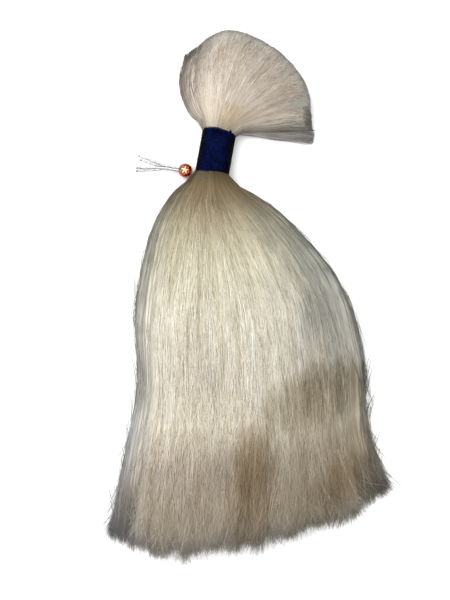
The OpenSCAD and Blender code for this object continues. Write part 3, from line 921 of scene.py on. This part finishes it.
def finishing_knot():
    """A small overhand knot at the winding's upper right edge: a trefoil, with a cut end."""
    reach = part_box("whipping_knot")[1][1]
    out = math.radians(50)
    centre = round_the_waist(np.array(out), np.array(BINDING_HALF - 1.4 * MM),
                             BINDING_R + 0.35 * MM)
    away = np.array([math.cos(out), 0, math.sin(out)])
    beside = np.array([-math.sin(out), 0, math.cos(out)])
    along_y = np.array([0.0, 1.0, 0.0])
    t = np.linspace(0, 2 * np.pi, 97)[:-1]
    loop = 0.42 * MM * np.stack([np.sin(t) + 2 * np.sin(2 * t), np.cos(t) - 2 * np.cos(2 * t),
                                 -np.sin(3 * t)], -1)
    path = (centre + loop[:, :1] * along_y * 0.6 + loop[:, 1:2] * beside * 0.6
            + loop[:, 2:] * away * 0.5)
    path = np.concatenate([path, path[:1]])
    knot = twisted_tube("thread_knot", path, 0.42 * THREAD_D, 8, THREAD_LAY)
    finish_piece(knot, THREAD, "navy_thread", "whipping_knot")
    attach(knot, "binding")
    s = np.linspace(0, 1, 24)[:, None]
    tail = (centre + s * (reach - centre[1] + 0.6 * MM) * along_y + 0.35 * MM * s ** 2 * away
            + 0.4 * MM * np.sin(2.5 * s) * beside)
    end = twisted_tube("thread_cut_end", tail, 0.4 * THREAD_D, 8, THREAD_LAY)
    finish_piece(end, THREAD, "navy_thread")
    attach(end, "binding")


winding()
crossing_threads()
finishing_knot()


# ---- the hair ----


def bend(piece, hair, body):
    """Bakes the piece's place into its mesh."""
    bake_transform(piece)


SKIRT = skirt_flow()
FAN = fan_flow()


def lock(name, hair, look, seed, u_range, w_range, long_hairs, short_hairs, solid, stations=16):
    """A lock that stands for one solid: hairs that run its whole length, and shorter hairs among
    and over them."""
    sets = [strands(hair, look, seed, long_hairs, u_range, w_range, stations=stations)]
    if short_hairs:
        lift = (w_range[0] + 0.06, w_range[1]) if w_range[0] > 0 else w_range
        sets.append(strands(hair, look, seed + 100, short_hairs, u_range, lift, spans=look.stretch,
                            start=0.03, stations=7, thick=0.15 * MM))
    piece = add_strands(name, sets)
    finish_hair(piece, hair, solid)


def finish_hair(piece, hair, *solids):
    """Hair takes its flow's material, has its place baked into its mesh, and stands for its solids.
    """
    if hair is SKIRT:
        finish, slot, body = SKIRT_HAIR, "skirt_hair", "skirt"
    else:
        finish, slot, body = FAN_HAIR, "fan_hair", "fan"
    finish_piece(piece, finish, slot, *solids)
    bend(piece, hair, body)


def skirt():
    """The long hair: a bed, its cut tips, five cover locks, four under locks and two side locks."""
    finish_hair(hair_bed("skirt_bed", SKIRT, 0.945, 0.95), SKIRT, "skirt_core_hair")
    tips = strands(SKIRT, LONG_HAIR, 11, 2400, (0.03, 0.97), (-0.9, 0.9), start=0.72, stations=7)
    finish_hair(add_strands("skirt_core_tips", [tips]), SKIRT)
    for i, (low, high) in enumerate([(2, 5), (5, 7), (7, 9), (9, 11), (11, 14)]):
        lock(f"skirt_cover_hair_{i + 1}", SKIRT, LONG_HAIR, 20 + i, (low / 16, high / 16),
             (0.92, 1.01), 550, 2500, f"skirt_cover_lock_{i + 1}")
    for i, (low, high) in enumerate([(2, 5), (5, 8), (8, 11), (11, 14)]):
        lock(f"skirt_under_hair_{i + 1}", SKIRT, LONG_HAIR, 30 + i, (low / 16, high / 16),
             (-0.99, -0.9), 560, 0, f"skirt_under_lock_{i + 1}", stations=12)
    for name, seed, u_range in (("left", 35, (0.0, 0.125)), ("right", 36, (0.875, 1.0))):
        lock(f"skirt_side_hair_{name}", SKIRT, LONG_HAIR, seed, u_range, (-1.0, 1.0), 900, 1300,
             f"skirt_side_lock_{name}")


def fan():
    """The short hair: a bed, its cut ends, four cover locks, three under locks, two side locks."""
    finish_hair(hair_bed("fan_bed", FAN, 0.95, 0.96), FAN, "fan_core_hair")
    tips = strands(FAN, SHORT_HAIR, 51, 2000, (0.03, 0.97), (-0.9, 0.9), start=0.6, stations=6)
    finish_hair(add_strands("fan_core_tips", [tips]), FAN)
    for i, (low, high) in enumerate([(2, 5), (5, 8), (8, 11), (11, 14)]):
        lock(f"fan_cover_hair_{i + 1}", FAN, SHORT_HAIR, 60 + i, (low / 16, high / 16),
             (0.93, 1.01), 600, 1400, f"fan_cover_lock_{i + 1}", stations=11)
    for i, (low, high) in enumerate([(2, 6), (6, 10), (10, 14)]):
        lock(f"fan_under_hair_{i + 1}", FAN, SHORT_HAIR, 70 + i, (low / 16, high / 16),
             (-0.99, -0.9), 480, 0, f"fan_under_lock_{i + 1}", stations=10)
    for name, seed, u_range in (("left", 75, (0.0, 0.125)), ("right", 76, (0.875, 1.0))):
        lock(f"fan_side_hair_{name}", FAN, SHORT_HAIR, seed, u_range, (-1.0, 1.0), 600, 700,
             f"fan_side_lock_{name}", stations=10)


def loose_wisp():
    """A thin bunch of hairs beside the fan: each keeps its place in an oval that widens outwards,
    and strays a little from it. Their ends are uneven."""
    low, high = (np.array(corner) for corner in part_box("fan_loose_wisp"))
    rng = np.random.default_rng(80)
    n, stations = 560, 12
    middle = np.array([(0.0, 0.16, 0.60), (0.22, 0.42, 0.55), (0.45, 0.62, 0.48), (0.74, 0.85, 0.5),
                       (1.0, 1.0, 0.42)])
    widths = np.array([(0.5, 1.5), (1.3, 2.2), (2.2, 2.6), (2.6, 2.8), (2.9, 2.6)]) * MM
    s = np.linspace(-0.08, 1, stations)[None] * (1.0 - 0.14 * rng.random((n, 1)) ** 2)
    centres = low + along(middle, s) * (high - low)
    oval = along(widths, s)
    angle = rng.uniform(0, 2 * np.pi, (n, 1)) + 0.7 * s
    radius = rng.random((n, 1)) ** 0.5 * (1 + 0.25 * rng.normal(size=(n, 1)) * s)
    wave = 0.35 * MM * np.sin(rng.uniform(4, 12, (n, 1)) * s + rng.uniform(0, 6.3, (n, 1))) * s
    centres[..., 1] += oval[..., 0] * radius * np.cos(angle) + wave
    centres[..., 2] += oval[..., 1] * radius * np.sin(angle)
    radii = 0.15 * MM * rng.uniform(0.7, 1.2, (n, 1)) * np.linspace(1, 0.5, stations)
    centres[..., 2] = np.maximum(centres[..., 2], radii)
    strip = (np.arange(n)[:, None, None] + 0.15 + 0.35 * np.arange(3)) / n + 0 * s[..., None]
    down = np.clip(s[..., None], 0, 1) + 0 * strip
    batch = SimpleNamespace(
        points=tube_grid(centres, radii, 3), flow=np.stack([WISP_U + 0 * down, down], -1),
        bake=np.stack([strip, down], -1),
        tone=np.repeat(np.clip(rng.normal(0.4, 0.2, n), 0, 1), stations * 3))
    finish_hair(add_strands("fan_wisp_hair", [batch]), FAN, "fan_loose_wisp")


skirt()
fan()
loose_wisp()

# ---- the solids that stay ----


def keep_solid(name, finish):
    """A solid of the frame that keeps its shape and gets its finish."""
    solid = frame["nodes"][name]
    solid.data.materials.clear()
    solid.data.materials.append(finish)


keep_solid("under_whipping", THREAD)
keep_solid("cord_loop", CORD)
keep_solid("waist_hair", FAN_HAIR)

# ---- table and light ----


def stage():
    """A pale table, an even sky, and broad lamps overhead, the stronger one above the left."""
    bpy.ops.mesh.primitive_plane_add(size=4, location=(0, 0, -0.2 * MM))
    table = bpy.context.object
    table.name = "table"
    table.data.materials.append(floor_material())
    world = bpy.data.worlds.new("sky")
    world.use_nodes = True
    world.node_tree.nodes["Background"].inputs["Color"].default_value = (1, 1, 1, 1)
    world.node_tree.nodes["Background"].inputs["Strength"].default_value = 0.8
    bpy.context.scene.world = world
    for name, place_at, power, size in (("key", (-0.45, 0.15, 1.25), 15, 0.8),
                                        ("fill", (0.5, -0.5, 1.3), 7, 1.2)):
        data = bpy.data.lights.new(name, "AREA")
        data.energy = power
        data.size = size
        lamp = bpy.data.objects.new(name, data)
        lamp.location = place_at
        lamp.rotation_euler = (-Vector(place_at)).to_track_quat("-Z", "Y").to_euler()
        bpy.context.scene.collection.objects.link(lamp)
    bpy.context.scene.view_settings.view_transform = "Standard"


stage()
